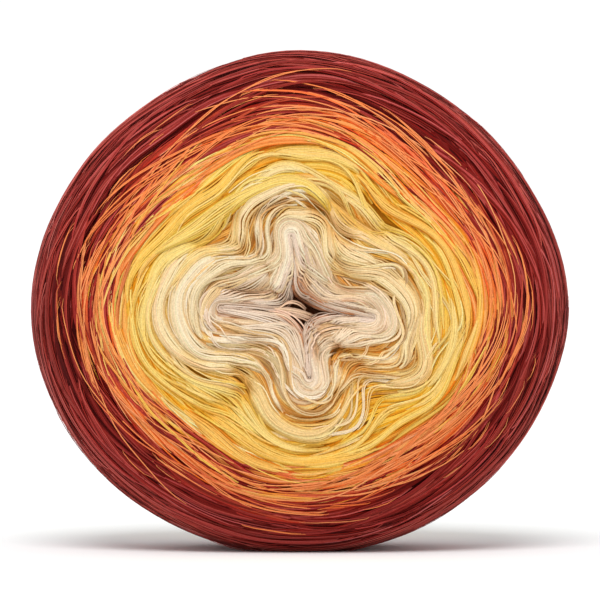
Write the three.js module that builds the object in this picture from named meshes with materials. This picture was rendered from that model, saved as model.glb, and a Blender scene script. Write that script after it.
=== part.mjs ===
// A gradient yarn cake: one long yarn wound into a thick oval disc, standing on its rim.
// Its winding core has closed up into a four-armed star, and the turns around it lie in folds.
// Millimetres, +Z up. The faces look along -Y (front) and +Y (back), the width runs along X,
// and the origin is on the resting surface under the middle of the cake.
import * as THREE from "three";

// Main sizes
const THICKNESS = 82; // from face to face, along Y, before the middle of each face sinks in
const AXIS_HEIGHT = 79; // middle of the outline above the resting surface
const ROUNDING = 3; // power of the section: 2 is an ellipse, more is a squarer rim

// Outline of the rim, as its distance from the middle at each angle. 0 is +X and 90 is up.
// Below the middle it reaches past the resting surface, which presses it flat.
const OUTLINE = [
  { angle: 0, radius: 85.0 },
  { angle: 30, radius: 80.6 },
  { angle: 60, radius: 78.7 },
  { angle: 90, radius: 79.2 },
  { angle: 120, radius: 78.3 },
  { angle: 150, radius: 81.5 },
  { angle: 180, radius: 85.2 },
  { angle: 210, radius: 84.2 },
  { angle: 240, radius: 81.8 },
  { angle: 270, radius: 80.6 },
  { angle: 300, radius: 81.8 },
  { angle: 330, radius: 83.4 },
];

// The closed core: a star of four slits around its heart. taper is how fast a slit closes towards
// its tip.
const HEART = { x: 0, z: 75.8 };
const ARMS = [
  { name: "right", angle: -4, length: 22.6, taper: 0.02 },
  { name: "up", angle: 97, length: 24.3, taper: 0.1 },
  { name: "left", angle: 176.5, length: 24.5, taper: 0.02 },
  { name: "down", angle: 278, length: 20.5, taper: 0.08 },
];
const CORNER = { start: 1.7, growth: 0.14 }; // rounding of the turns between two arms

// Places on the front face where the turns are pushed sideways, over a round patch.
const PUSHES = [
  { place: "upper right pillow", x: 8.4, z: 84.0, right: 1.0, up: 1.2, reach: 5.4 },
  { place: "lower right fold", x: 19.8, z: 52.3, right: -2.2, up: 2.2, reach: 6.3 },
  { place: "lower right bulge", x: 35.7, z: 57.4, right: 1.9, up: -2.2, reach: 7.0 },
  { place: "upper left fold", x: -16.3, z: 97.0, right: 1.0, up: -1.0, reach: 5.0 },
  { place: "lower right curl", x: 12.8, z: 63.1, right: -1.0, up: 1.0, reach: 4.5 },
  { place: "upper right bulge", x: 31.2, z: 91.0, right: 1.3, up: 1.3, reach: 7.0 },
  { place: "lower left fold", x: -18.9, z: 49.8, right: 1.0, up: 1.3, reach: 5.7 },
  { place: "foot of upper slit", x: -0.6, z: 82.0, right: -2.0, up: 0, reach: 3.6 },
];

// Troughs between the folds. Each runs from one angle to another, seen from the heart, while its
// level drifts from start to end. The level is 0 at the slits and 1 at the rim.
const FRONT_CREASES = [
  { from: 50, to: 90, start: 0.3, end: 0.21, depth: 3.2, width: 1.9 },
  { from: 38, to: 80, start: 0.4, end: 0.3, depth: 2.2, width: 1.6 },
  { from: 92, to: 118, start: 0.21, end: 0.25, depth: 2.2, width: 1.6 },
  { from: 118, to: 152, start: 0.34, end: 0.35, depth: 2.3, width: 1.7 },
  { from: 126, to: 139, start: 0.28, end: 0.27, depth: 2, width: 1.4 },
  { from: 117, to: 132, start: 0.24, end: 0.21, depth: 2, width: 1.4 },
  { from: 130, to: 166, start: 0.07, end: 0.1, depth: 2.8, width: 1.5 },
  { from: 121, to: 135, start: 0.15, end: 0.13, depth: 1.8, width: 1.3 },
  { from: 20, to: 64, start: 0.165, end: 0.185, depth: 2.2, width: 1.6 },
  { from: 12, to: 56, start: 0.095, end: 0.11, depth: 1.4, width: 1.4 },
  { from: 62, to: 88, start: 0.05, end: 0.065, depth: 1.4, width: 1.3 },
  { from: 306, to: 346, start: 0.055, end: 0.05, depth: 1.8, width: 1.4 },
  { from: 288, to: 305, start: 0.075, end: 0.075, depth: 1.8, width: 1.3 },
  { from: 305, to: 326, start: 0.16, end: 0.14, depth: 3.8, width: 1.6 },
  { from: 304, to: 325, start: 0.215, end: 0.23, depth: 3.2, width: 1.6 },
  { from: 316, to: 341, start: 0.19, end: 0.18, depth: 1.6, width: 1.4 },
  { from: 304, to: 323, start: 0.3, end: 0.31, depth: 1.8, width: 1.6 },
  { from: 301, to: 319, start: 0.38, end: 0.38, depth: 1.7, width: 1.7 },
  { from: 286, to: 303, start: 0.225, end: 0.24, depth: 1.6, width: 1.5 },
  { from: 216, to: 243, start: 0.275, end: 0.33, depth: 3.2, width: 1.5 },
  { from: 226, to: 241, start: 0.355, end: 0.37, depth: 2.4, width: 1.3 },
  { from: 223, to: 239, start: 0.42, end: 0.43, depth: 2, width: 1.5 },
  { from: 210, to: 253, start: 0.195, end: 0.205, depth: 2.2, width: 1.6 },
  { from: 198, to: 217, start: 0.23, end: 0.225, depth: 1.6, width: 1.5 },
  { from: 203, to: 233, start: 0.145, end: 0.15, depth: 1.7, width: 1.4 },
  { from: 194, to: 211, start: 0.31, end: 0.31, depth: 1.3, width: 1.6 },
  { from: 219, to: 235, start: 0.49, end: 0.49, depth: 1.3, width: 1.8 },
  { from: 254, to: 289, start: 0.265, end: 0.27, depth: 1.8, width: 1.7 },
  { from: 268, to: 291, start: 0.44, end: 0.44, depth: 1.3, width: 2 },
];
const BACK_CREASES = [
  { from: 28, to: 70, start: 0.13, end: 0.16, depth: 1.8, width: 2 },
  { from: 40, to: 84, start: 0.25, end: 0.22, depth: 1.8, width: 2.2 },
  { from: 116, to: 152, start: 0.22, end: 0.18, depth: 2, width: 2 },
  { from: 128, to: 164, start: 0.33, end: 0.36, depth: 1.6, width: 2.4 },
  { from: 202, to: 246, start: 0.28, end: 0.32, depth: 1.8, width: 2.2 },
  { from: 212, to: 238, start: 0.15, end: 0.17, depth: 1.7, width: 2 },
  { from: 300, to: 336, start: 0.22, end: 0.25, depth: 2, width: 2.2 },
  { from: 306, to: 326, start: 0.4, end: 0.38, depth: 1.4, width: 2.4 },
];

// How each face is modelled. slit and heart are depths of the funnel around the slits and the
// heart, pit is the depth of the pit's floor, fade is how far from a slit its sides still rise,
// and dip is how far the middle of the face lies behind its shoulder.
const FRONT = {
  side: -1,
  lowest: 0.012,
  innerRings: 30,
  slit: 1.8,
  slitInner: 4,
  heart: 7,
  pit: 28,
  fade: 2.4,
  dip: 3,
  pushes: PUSHES,
  creases: FRONT_CREASES,
};
const BACK = {
  side: 1,
  lowest: 0.03,
  innerRings: 10,
  slit: 2.4,
  slitInner: 3.5,
  heart: 4,
  pit: 22,
  fade: 3.4,
  dip: 3,
  pushes: [],
  creases: BACK_CREASES,
};
const SLIT_INNER_REACH = 8; // how far from the heart the slits stay deep
const HEART_REACH = 4.5;
const DIP_REACH = 30;
const CREASE_END = 6; // degrees over which a crease fades out
const SHOULDER = 0.52; // level where the rings for the folds end and those for the rim begin
const RIM_RINGS = 9;
const SECTOR_STEPS = 24; // points on each ring between two arms
const SECTOR_SAMPLES = 60; // directions tried between two arms, to space those points evenly
const PIT_SIZE = 0.75; // size of the ring down the pit's side, as a share of the first ring
const PIT_FALL = 0.7; // how far down to the floor that ring lies

const DEGREE = Math.PI / 180;
const FAR = 100; // longer than any ray from the heart to the outline
const HALVINGS = 40;

// Radius of the outline at an angle in radians, on a smooth closed curve through the rows.
function outlineRadius(angle) {
  const count = OUTLINE.length;
  const turn = (((angle / DEGREE) % 360) + 360) % 360;
  const place = (turn / 360) * count;
  const row = Math.floor(place);
  const t = place - row;
  const [a, b, c, d] = [-1, 0, 1, 2].map((k) => OUTLINE[(row + k + count) % count].radius);
  const linear = c - a;
  const square = 2 * a - 5 * b + 4 * c - d;
  const cube = 3 * b - 3 * c + d - a;
  return 0.5 * (2 * b + linear * t + square * t * t + cube * t * t * t);
}

// Distance from a point, given from the heart, to the star's arms, blended around each corner.
function armDistance(x, z) {
  const softness = CORNER.start + CORNER.growth * Math.hypot(x, z);
  let sum = 0;
  for (const arm of ARMS) {
    const ux = Math.cos(arm.angle * DEGREE);
    const uz = Math.sin(arm.angle * DEGREE);
    const along = Math.min(Math.max(x * ux + z * uz, 0), arm.length);
    const away = Math.hypot(x - along * ux, z - along * uz) + arm.taper * along;
    sum += Math.exp(-away / softness);
  }
  return -softness * Math.log(sum);
}

// The first distance along a ray from the heart at which a rising measure reaches its target.
function reachOnRay(angle, measure, target) {
  const [ux, uz] = [Math.cos(angle), Math.sin(angle)];
  let [low, high] = [0, FAR];
  for (let i = 0; i < HALVINGS; i++) {
    const middle = (low + high) / 2;
    if (measure(middle * ux, middle * uz) < target) low = middle;
    else high = middle;
  }
  return (low + high) / 2;
}

function beyondOutline(x, z) {
  const [px, pz] = [HEART.x + x, HEART.z + z - AXIS_HEIGHT];
  return Math.hypot(px, pz) - outlineRadius(Math.atan2(pz, px));
}

// Directions between each arm and the next, with how far the arms are from the outline there.
const SECTORS = ARMS.map((arm, k) => {
  const next = ARMS[(k + 1) % ARMS.length];
  const span = (next.angle - arm.angle + 360) % 360;
  return Array.from({ length: SECTOR_SAMPLES + 1 }, (_, i) => {
    const angle = (arm.angle + (span * i) / SECTOR_SAMPLES) * DEGREE;
    const edge = reachOnRay(angle, beyondOutline, 0);
    const depth = armDistance(edge * Math.cos(angle), edge * Math.sin(angle));
    return { angle, depth };
  });
});

// Points of one turn, from the heart, evenly spaced between each two arms.
function turnPoints(level) {
  const points = [];
  for (const sector of SECTORS) {
    const curve = sector.map(({ angle, depth }) => {
      const radius = reachOnRay(angle, armDistance, level * depth);
      return { x: radius * Math.cos(angle), z: radius * Math.sin(angle), depth };
    });
    const lengths = [0];
    for (let i = 1; i < curve.length; i++) {
      const step = Math.hypot(curve[i].x - curve[i - 1].x, curve[i].z - curve[i - 1].z);
      lengths.push(lengths[i - 1] + step);
    }
    let i = 0;
    for (let n = 0; n < SECTOR_STEPS; n++) {
      const wanted = (lengths[SECTOR_SAMPLES] * n) / SECTOR_STEPS;
      while (lengths[i + 1] < wanted) i++;
      const t = (wanted - lengths[i]) / (lengths[i + 1] - lengths[i]);
      points.push({
        x: THREE.MathUtils.lerp(curve[i].x, curve[i + 1].x, t),
        z: THREE.MathUtils.lerp(curve[i].z, curve[i + 1].z, t),
        distance: level * THREE.MathUtils.lerp(curve[i].depth, curve[i + 1].depth, t),
      });
    }
  }
  return points;
}

// A crease's own depth at a point: full along its middle line, fading at its sides and ends.
function creaseDepth(crease, level, point, angle) {
  const middle = (crease.from + crease.to) / 2;
  const half = (crease.to - crease.from) / 2;
  const turn = ((((angle / DEGREE - middle) % 360) + 540) % 360) - 180;
  const share = THREE.MathUtils.clamp((turn / half + 1) / 2, 0, 1);
  const own = THREE.MathUtils.lerp(crease.start, crease.end, share);
  const across = (point.distance * (1 - own / level)) / crease.width;
  const end = THREE.MathUtils.smoothstep(half - Math.abs(turn), 0, CREASE_END);
  return crease.depth * Math.exp(-across * across) * end;
}

// How far a point of a face lies behind the plain rounded section.
function inwardDepth(face, level, point) {
  const radius = Math.hypot(point.x, point.z);
  const angle = Math.atan2(point.z, point.x);
  const slit = face.slit + face.slitInner * Math.exp(-((radius / SLIT_INNER_REACH) ** 2));
  let depth = slit * Math.exp(-Math.max(point.distance, 0) / face.fade);
  depth += face.heart * Math.exp(-((radius / HEART_REACH) ** 2));
  depth += face.dip * Math.exp(-((radius / DIP_REACH) ** 2));
  for (const crease of face.creases) depth += creaseDepth(crease, level, point, angle);
  return depth;
}

// One ring of vertices on a face. The resting surface presses flat what reaches below it.
function faceRing(face, level) {
  const section = (THICKNESS / 2) * (1 - level ** ROUNDING) ** (1 / ROUNDING);
  return turnPoints(level).map((point) => {
    let [x, z] = [HEART.x + point.x, HEART.z + point.z];
    const [startX, startZ] = [x, z];
    for (const push of face.pushes) {
      const away = Math.hypot(startX - push.x, startZ - push.z) / push.reach;
      const share = Math.exp(-(away * away) / 2);
      x += push.right * share;
      z += push.up * share;
    }
    const y = face.side * (section - inwardDepth(face, level, point) * (1 - level ** 2));
    return new THREE.Vector3(x, y, Math.max(z, 0));
  });
}

// Levels from the slits to the rim: even steps over the folds, then finer ones towards the rim.
function faceLevels(face) {
  const levels = [];
  for (let i = 0; i < face.innerRings; i++)
    levels.push(THREE.MathUtils.lerp(face.lowest, SHOULDER, i / face.innerRings));
  for (let i = 0; i < RIM_RINGS; i++)
    levels.push(SHOULDER + (1 - SHOULDER) * Math.sin((Math.PI / 2) * (i / RIM_RINGS)));
  return levels;
}

// The pit inside a face's first ring: a smaller ring down its steep side, and its floor's middle.
function pitFloor(face, ring) {
  const floor = new THREE.Vector3(HEART.x, face.side * (THICKNESS / 2 - face.pit), HEART.z);
  const small = ring.map(({ x, y, z }) => {
    const smallX = THREE.MathUtils.lerp(HEART.x, x, PIT_SIZE);
    const smallZ = THREE.MathUtils.lerp(HEART.z, z, PIT_SIZE);
    return new THREE.Vector3(smallX, THREE.MathUtils.lerp(y, floor.y, PIT_FALL), smallZ);
  });
  return { floor, small };
}

function cakeGeometry() {
  const front = faceLevels(FRONT).map((level) => faceRing(FRONT, level));
  const back = faceLevels(BACK).map((level) => faceRing(BACK, level));
  const frontPit = pitFloor(FRONT, front[0]);
  const backPit = pitFloor(BACK, back[0]);
  const equator = faceRing(FRONT, 1);
  const rings = [frontPit.small, ...front, equator, ...back.reverse(), backPit.small];
  const count = ARMS.length * SECTOR_STEPS;
  const vertices = [...rings.flat(), frontPit.floor, backPit.floor];
  const [frontFloor, backFloor] = [vertices.length - 2, vertices.length - 1];
  const faces = [];
  for (let i = 0; i < count; i++) {
    const next = (i + 1) % count;
    faces.push(frontFloor, i, next);
    for (let ring = 0; ring < rings.length - 1; ring++) {
      const [a, b] = [ring * count + i, ring * count + next];
      const [c, d] = [a + count, b + count];
      faces.push(a, c, b, b, c, d);
    }
    const last = (rings.length - 1) * count;
    faces.push(backFloor, last + next, last + i);
  }
  const geometry = new THREE.BufferGeometry().setFromPoints(vertices);
  geometry.setIndex(faces);
  geometry.computeVertexNormals();
  return geometry;
}

const yarn = new THREE.MeshStandardMaterial({ color: 0x8c3229, roughness: 0.85, metalness: 0 });
const cake = new THREE.Mesh(cakeGeometry(), yarn);
cake.name = "yarn_cake";

const model = new THREE.Group();
model.add(cake);

export default model;
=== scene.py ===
"""A gradient yarn cake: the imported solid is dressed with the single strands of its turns.

The solid's folded surface is worked out again from the same sizes and tables as in its source.
Strands are laid on it as ribbons of a few threads, since the yarn is a bundle of unplied threads.
Three families of them cover the cake: turns that follow the folds around the core, arcs that
swing outwards over the face, and criss-cross turns that run over the rim from face to face.
Lengths are in millimetres up to the moment a mesh is made, which is in metres.
"""

import math

import bpy
import numpy as np
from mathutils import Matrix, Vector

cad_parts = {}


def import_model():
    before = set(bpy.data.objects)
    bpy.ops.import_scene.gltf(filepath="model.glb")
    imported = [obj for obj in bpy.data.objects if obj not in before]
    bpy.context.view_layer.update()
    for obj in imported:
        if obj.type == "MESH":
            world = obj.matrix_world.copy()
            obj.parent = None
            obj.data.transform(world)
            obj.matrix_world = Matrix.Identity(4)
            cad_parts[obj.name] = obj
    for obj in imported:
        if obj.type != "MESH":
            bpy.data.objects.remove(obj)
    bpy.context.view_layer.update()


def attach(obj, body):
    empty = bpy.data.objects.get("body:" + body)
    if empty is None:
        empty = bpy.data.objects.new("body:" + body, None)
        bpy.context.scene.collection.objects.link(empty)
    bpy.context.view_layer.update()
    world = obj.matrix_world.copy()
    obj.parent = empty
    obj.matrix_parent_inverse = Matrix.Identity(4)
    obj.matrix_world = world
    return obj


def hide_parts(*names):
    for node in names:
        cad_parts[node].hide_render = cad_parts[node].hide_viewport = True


MM = 0.001
DEGREE = math.pi / 180
TINY = 1e-9
SEED = 11

# Sizes and tables of the solid
THICKNESS = 82
AXIS_HEIGHT = 79
ROUNDING = 3
OUTLINE = [
    {"angle": 0, "radius": 85.0},
    {"angle": 30, "radius": 80.6},
    {"angle": 60, "radius": 78.7},
    {"angle": 90, "radius": 79.2},
    {"angle": 120, "radius": 78.3},
    {"angle": 150, "radius": 81.5},
    {"angle": 180, "radius": 85.2},
    {"angle": 210, "radius": 84.2},
    {"angle": 240, "radius": 81.8},
    {"angle": 270, "radius": 80.6},
    {"angle": 300, "radius": 81.8},
    {"angle": 330, "radius": 83.4},
]
HEART = {"x": 0, "z": 75.8}
ARMS = [
    {"name": "right", "angle": -4, "length": 22.6, "taper": 0.02},
    {"name": "up", "angle": 97, "length": 24.3, "taper": 0.10},
    {"name": "left", "angle": 176.5, "length": 24.5, "taper": 0.02},
    {"name": "down", "angle": 278, "length": 20.5, "taper": 0.08},
]
CORNER = {"start": 1.7, "growth": 0.14}
PUSHES = [
    {"place": "upper right pillow", "x": 8.4, "z": 84.0, "right": 1.0, "up": 1.2, "reach": 5.4},
    {"place": "lower right fold", "x": 19.8, "z": 52.3, "right": -2.2, "up": 2.2, "reach": 6.3},
    {"place": "lower right bulge", "x": 35.7, "z": 57.4, "right": 1.9, "up": -2.2, "reach": 7.0},
    {"place": "upper left fold", "x": -16.3, "z": 97.0, "right": 1.0, "up": -1.0, "reach": 5.0},
    {"place": "lower right curl", "x": 12.8, "z": 63.1, "right": -1.0, "up": 1.0, "reach": 4.5},
    {"place": "upper right bulge", "x": 31.2, "z": 91.0, "right": 1.3, "up": 1.3, "reach": 7.0},
    {"place": "lower left fold", "x": -18.9, "z": 49.8, "right": 1.0, "up": 1.3, "reach": 5.7},
    {"place": "foot of upper slit", "x": -0.6, "z": 82.0, "right": -2.0, "up": 0.0, "reach": 3.6},
]
CREASE_COLUMNS = ("from", "to", "start", "end", "depth", "width")
FRONT_CREASES = [
    (50, 90, 0.30, 0.21, 3.2, 1.9),
    (38, 80, 0.40, 0.30, 2.2, 1.6),
    (92, 118, 0.21, 0.25, 2.2, 1.6),
    (118, 152, 0.34, 0.35, 2.3, 1.7),
    (126, 139, 0.28, 0.27, 2.0, 1.4),
    (117, 132, 0.24, 0.21, 2.0, 1.4),
    (130, 166, 0.07, 0.10, 2.8, 1.5),
    (121, 135, 0.15, 0.13, 1.8, 1.3),
    (20, 64, 0.165, 0.185, 2.2, 1.6),
    (12, 56, 0.095, 0.11, 1.4, 1.4),
    (62, 88, 0.05, 0.065, 1.4, 1.3),
    (306, 346, 0.055, 0.05, 1.8, 1.4),
    (288, 305, 0.075, 0.075, 1.8, 1.3),
    (305, 326, 0.16, 0.14, 3.8, 1.6),
    (304, 325, 0.215, 0.23, 3.2, 1.6),
    (316, 341, 0.19, 0.18, 1.6, 1.4),
    (304, 323, 0.30, 0.31, 1.8, 1.6),
    (301, 319, 0.38, 0.38, 1.7, 1.7),
    (286, 303, 0.225, 0.24, 1.6, 1.5),
    (216, 243, 0.275, 0.33, 3.2, 1.5),
    (226, 241, 0.355, 0.37, 2.4, 1.3),
    (223, 239, 0.42, 0.43, 2.0, 1.5),
    (210, 253, 0.195, 0.205, 2.2, 1.6),
    (198, 217, 0.23, 0.225, 1.6, 1.5),
    (203, 233, 0.145, 0.15, 1.7, 1.4),
    (194, 211, 0.31, 0.31, 1.3, 1.6),
    (219, 235, 0.49, 0.49, 1.3, 1.8),
    (254, 289, 0.265, 0.27, 1.8, 1.7),
    (268, 291, 0.44, 0.44, 1.3, 2.0),
]
BACK_CREASES = [
    (28, 70, 0.13, 0.16, 1.8, 2.0),
    (40, 84, 0.25, 0.22, 1.8, 2.2),
    (116, 152, 0.22, 0.18, 2.0, 2.0),
    (128, 164, 0.33, 0.36, 1.6, 2.4),
    (202, 246, 0.28, 0.32, 1.8, 2.2),
    (212, 238, 0.15, 0.17, 1.7, 2.0),
    (300, 336, 0.22, 0.25, 2.0, 2.2),
    (306, 326, 0.40, 0.38, 1.4, 2.4),
]
FRONT = {
    "side": -1, "slit": 1.8, "slit_inner": 4, "heart": 7, "pit": 28, "fade": 2.4, "dip": 3,
    "pushes": PUSHES, "creases": FRONT_CREASES,
}
BACK = {
    "side": 1, "slit": 2.4, "slit_inner": 3.5, "heart": 4, "pit": 22, "fade": 3.4, "dip": 3,
    "pushes": [], "creases": BACK_CREASES,
}
SLIT_INNER_REACH = 8
HEART_REACH = 4.5
DIP_REACH = 30
CREASE_END = 6
PIT_SIZE = 0.75
PIT_FALL = 0.7

# Grid on which the surface is kept
RAYS = 360  # rays tried in each sector between two arms
RAY_POINTS = 2001  # places tried on each ray
REACH = 100  # longer than any ray to the outline
COLUMNS = 150  # columns of the grid in each sector
INNER_LEVEL = 0.002
SHOULDER_LEVEL = 0.5
LEVEL_STEP = 0.005
RIM_ROWS = 60
RIM_CROWDING = 3  # how much closer the rows lie towards the rim
WALL_ROWS = 6
WALL_STEP = 2.0  # from one row down the side of the pit to the next
MEAN_DEPTH = 57  # usual distance from an arm to the outline
SECTORS = 4

# Threads
THREAD = 0.57  # width of one thread
WIDTHS = (0.88, 1.1)  # shares of that width that a thread may have
PITCH = 0.42  # from one thread of a ribbon to the next
THREAD_RISE = 0.095  # how far a thread's ridge stands over its edges
END_RAMP = 7.0  # length over which the end of a ribbon goes down between its neighbours
TIP_LENGTH = 12.0  # length over which the fine arcs grow thin
# Painted shade, as how much the yarn's colour deepens: at the edges of a thread, at the sides of a
# lock, in a deep crease, in the turns under the locks and on the body under all threads
EDGE_SHADE = 0.28
FLANK_SHADE = 0.45
CREASE_SHADE = 0.5
BODY_SHADE = 1.8
BODY_INSET = 0.65  # how far the body lies inside the solid's surface
BRIGHTEST = 0.80  # most light that yarn throws back
SAG = 0.05  # how far a straight piece of thread may cut a curve
LONGEST_PIECE = 5.0  # of a thread that runs straight
SHORTEST_PIECE = 0.55  # of a thread that bends
FEWEST_PIECES = 3
FLOOR_GAP = 0.02  # how far above the floor the lowest thread stays
THREAD_MAP = {"gap": 1.5, "slack": 2.4, "rows": (0.1, 0.5, 0.9)}

# How the threads of a ribbon lie beside each other
MOST_RAMP = 0.35  # most of its length that a ribbon takes to go down at one end
DRAWN = {"least": 0.25, "narrow": 0.3}  # how close threads come at the ends, the less if narrow
WANDER = {"size": 0.2, "wave": (4, 7), "step": 0.35, "own": 0.04}  # how threads stray sideways
RIPPLE = {"size": 0.03, "wave": 5}  # how they go up and down
TILT = 0.15  # how much higher one end of a ribbon may lie than the other
DEEP_CREASE = 2.5  # past this depth a crease makes the painted shade on threads no darker
LOCK_THREADS = 3  # a ribbon of more threads gets painted shade at its sides
FLANK_CURVE = 4
RAGGED = (0.13, 0.13)  # how unevenly threads end, at either side of a ribbon

# How a thread's colour differs from its neighbours', for each unit of a random number: partly the
# yarn's own uneven tone, partly painted sheen on paler threads and painted shade on deeper ones
VARIED = {
    "most": 0.5, "paler": 0.65, "weaker": 0.55, "green": 0.35, "blue": 0.4, "own_blue": 0.2,
    "least_tint": 0.6,
}
# How a ribbon's colour differs from the fade, by a share that grows from the heart outwards.
# up_to is the random number below which a ribbon is paler, or else deeper.
TONE = {
    "pale": (243, 228, 204), "pale_up_to": 0.35, "pale_share": (0.1, 0.7),
    "pale_inner": 0.4, "pale_core": 0.6,
    "deep": (214, 172, 108), "deep_up_to": 0.7, "deep_share": (0.1, 0.6), "deep_from": 0.15,
    "heart": 0.3, "beyond": 0.7, "heart_edge": 0.2, "spread": 0.08,
}
CORE = {"edge": 0.40, "blend": 0.14}
INNER = {"edge": 0.60, "blend": 0.2}

# The smooth field that moves neighbouring turns alike: still at the slits, weaker far out
FIELD = {"waves": 9, "around": (3, 12), "shortest": 16, "strength": (0.5, 1)}
FIELD_SIZES = {"deep": 0.6, "usual": 0.8, "loose": 1.1}
CALM = {"slit": 8, "from": 24, "over": 14, "share": 0.7}

# Colour of the yarn as it fades from the core to the rim, by level
FADE = [
    {"level": 0.00, "colour": (212, 191, 174)},
    {"level": 0.10, "colour": (219, 198, 170)},
    {"level": 0.20, "colour": (231, 208, 163)},
    {"level": 0.32, "colour": (232, 206, 152)},
    {"level": 0.40, "colour": (238, 209, 126)},
    {"level": 0.50, "colour": (242, 202, 104)},
    {"level": 0.56, "colour": (240, 185, 95)},
    {"level": 0.61, "colour": (239, 152, 88)},
    {"level": 0.66, "colour": (228, 118, 70)},
    {"level": 0.70, "colour": (176, 66, 46)},
    {"level": 0.735, "colour": (146, 46, 38)},
    {"level": 0.80, "colour": (144, 47, 41)},
    {"level": 0.90, "colour": (146, 50, 44)},
    {"level": 0.95, "colour": (156, 60, 53)},
    {"level": 1.00, "colour": (164, 70, 62)},
]

# Steps along the path of a lock, how far it dives at its ends, and how locks of a lane overlap
LOCK = {"step": 0.35, "points": 12, "dive": -0.6, "inmost": 0.3, "next": (0.7, 0.95)}
# How the families of threads are laid. Lengths and lifts are in millimetres. depth is painted shade
# that deepens a family's colour, as on the turns that lie under others.
LIPS = {
    "band": (0.003, 0.15), "spacing": 1.3, "cover": 0.9, "length": (18, 50), "drift": 0.08,
    "threads": (4, 12), "lift": (-0.4, 0.35), "crown": (0.4, 1.1), "depth": 0.0, "vary": 0.02,
    "uneven": 0.06, "width": 0.95,
}
UNDER = {
    "band": (0.005, 0.58), "spacing": 1.15, "cover": 1.0, "length": (60, 130), "drift": 0.015,
    "threads": (4, 5), "lift": (-0.3, 0.0), "crown": (0, 0.1), "depth": 0.35, "vary": 0.03,
    "uneven": 0.11, "width": 1.0,
}
LOCKS = {
    "band": (0.05, 0.60), "spacing": 2.1, "cover": 0.85, "length": (24, 80), "drift": 0.06,
    "threads": (3, 12), "lift": (-0.1, 0.5), "crown": (0.3, 1.0), "depth": 0.0, "vary": 0.025,
    "uneven": 0.10, "width": 0.95,
}
LOOSE = {
    "band": (0.05, 0.60), "spacing": 1.5, "cover": 0.5, "length": (15, 60), "drift": 0.07,
    "threads": (1, 3), "lift": (0.2, 0.7), "crown": (0.1, 0.4), "depth": 0.0, "vary": 0.03,
    "uneven": 0.13, "width": 0.7,
}
MIXED = {
    "band": (0.53, 0.695), "spacing": 1.15, "cover": 0.74, "length": (25, 80), "drift": 0.06,
    "threads": (2, 5), "lift": (-0.1, 0.4), "crown": (0.1, 0.4), "depth": 0.0, "vary": 0.06,
    "uneven": 0.24, "width": 0.9,
}
DARK_BETWEEN = {
    "band": (0.55, 0.74), "spacing": 1.4, "cover": 0.6, "length": (20, 60), "drift": 0.08,
    "threads": (2, 5), "lift": (0.2, 0.6), "crown": (0.1, 0.3), "depth": 0.0, "vary": 0.03,
    "uneven": 0.35, "width": 0.8, "darker_than": 0.72, "tips": 0.35,
}
DARK_UNDER = {
    "band": (0.57, 0.985), "spacing": 2.0, "cover": 1.0, "length": (50, 120), "drift": 0.03,
    "threads": (4, 5), "lift": (-0.4, 0.0), "crown": (0, 0.1), "depth": 0.4, "vary": 0.03,
    "uneven": 0.30, "width": 1.1, "darker_than": 0.72, "painted_shade": 0.72,
}
DARK = {
    "band": (0.72, 0.985), "spacing": 1.3, "cover": 0.78, "length": (30, 100), "drift": 0.07,
    "threads": (3, 6), "lift": (0.0, 0.8), "crown": (0.1, 0.5), "depth": 0.0, "vary": 0.03,
    "uneven": 0.42, "width": 0.95,
}
BROAD_ARCS = {
    "count": 150, "levels": (0.53, 0.69), "lean": (0.01, 0.08), "reach": (0.45, 1.1),
    "threads": (2, 6), "lift": (0.6, 1.1), "vary": 0.06, "peach": 0.1, "uneven": 0.22,
    "width": 0.85,
}
DARK_ARCS = {
    "count": 80, "levels": (0.57, 0.75), "lean": (0.0, 0.05), "reach": (0.4, 0.9),
    "threads": (2, 5), "lift": (0.7, 1.15), "vary": 0.03, "peach": 0.0, "uneven": 0.35,
    "width": 0.8, "darker_than": 0.74,
}
FINE_ARCS = {
    "count": 190, "levels": (0.56, 0.755), "lean": (0.04, 0.16), "reach": (0.35, 1.0),
    "threads": (1, 2), "lift": (1.2, 1.6), "vary": 0.03, "peach": 0.7, "uneven": 0.13,
    "width": 0.66,
}
STRAY_ARCS = {
    "count": 45, "levels": (0.74, 0.87), "lean": (0.0, 0.10), "reach": (0.08, 0.3),
    "threads": (1, 2), "lift": (1.1, 1.4), "vary": 0.03, "peach": 0.8, "uneven": 0.2,
    "width": 0.6,
}
BACK_ARCS = {**FINE_ARCS, "count": 200}
# What all families of arcs share. before is how far an arc starts ahead of where it touches.
ARC = {
    "points": 90, "before": 0.2, "before_share": (0.3, 1.2), "bend": 0.03, "dive": -0.5,
    "ramp": 6.0, "tips": 0.3, "ragged": (0.1, 0.35), "peach_spread": 0.15,
}
# Most arcs on the right of the cake swing outwards as they go round from right to top
RIGHT_LEAN = {"middle": 0.1, "share": 0.35}
PEACH_THREAD = (243, 150, 92)  # the fine threads that lie over the dark turns
# depth is the painted shade that deepens the colour of the pit's turns
PIT_TURNS = {
    "count": 34, "across": (-11.5, 1.2), "reach": (0.8, 1.8), "points": 120, "threads": 4,
    "colour": (226, 196, 172), "depth": 0.5, "lift": 0.0, "dive": -0.4,
}
# Each ribbon has a rank from 0, laid first and turning back furthest in, to 1 at the rim. by_rank
# is what a value gains on the way.
CRISS_CROSS = {
    "count": 340, "threads": (3, 6), "points": 260, "dive": -1.2, "crown": 0.2,
    "uneven": 0.40, "width": 1.15,
    "level": 0.80, "level_by_rank": 0.18, "rank_curve": 0.8, "furthest": 0.99,
    "front_spread": 0.03, "back_spread": 0.02,
    "period": (3.2, 4.4), "sharp": (0.93, 0.98), "span": (0.4, 0.7),
    # depth is painted shade, strongest on the lowest ribbons and less with rank
    "tone": 0.86, "tone_by_rank": 0.12, "tone_spread": 0.03, "depth": 0.35,
    "lift": -0.75, "lift_by_rank": 0.65, "lift_spread": 0.08,
}
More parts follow.
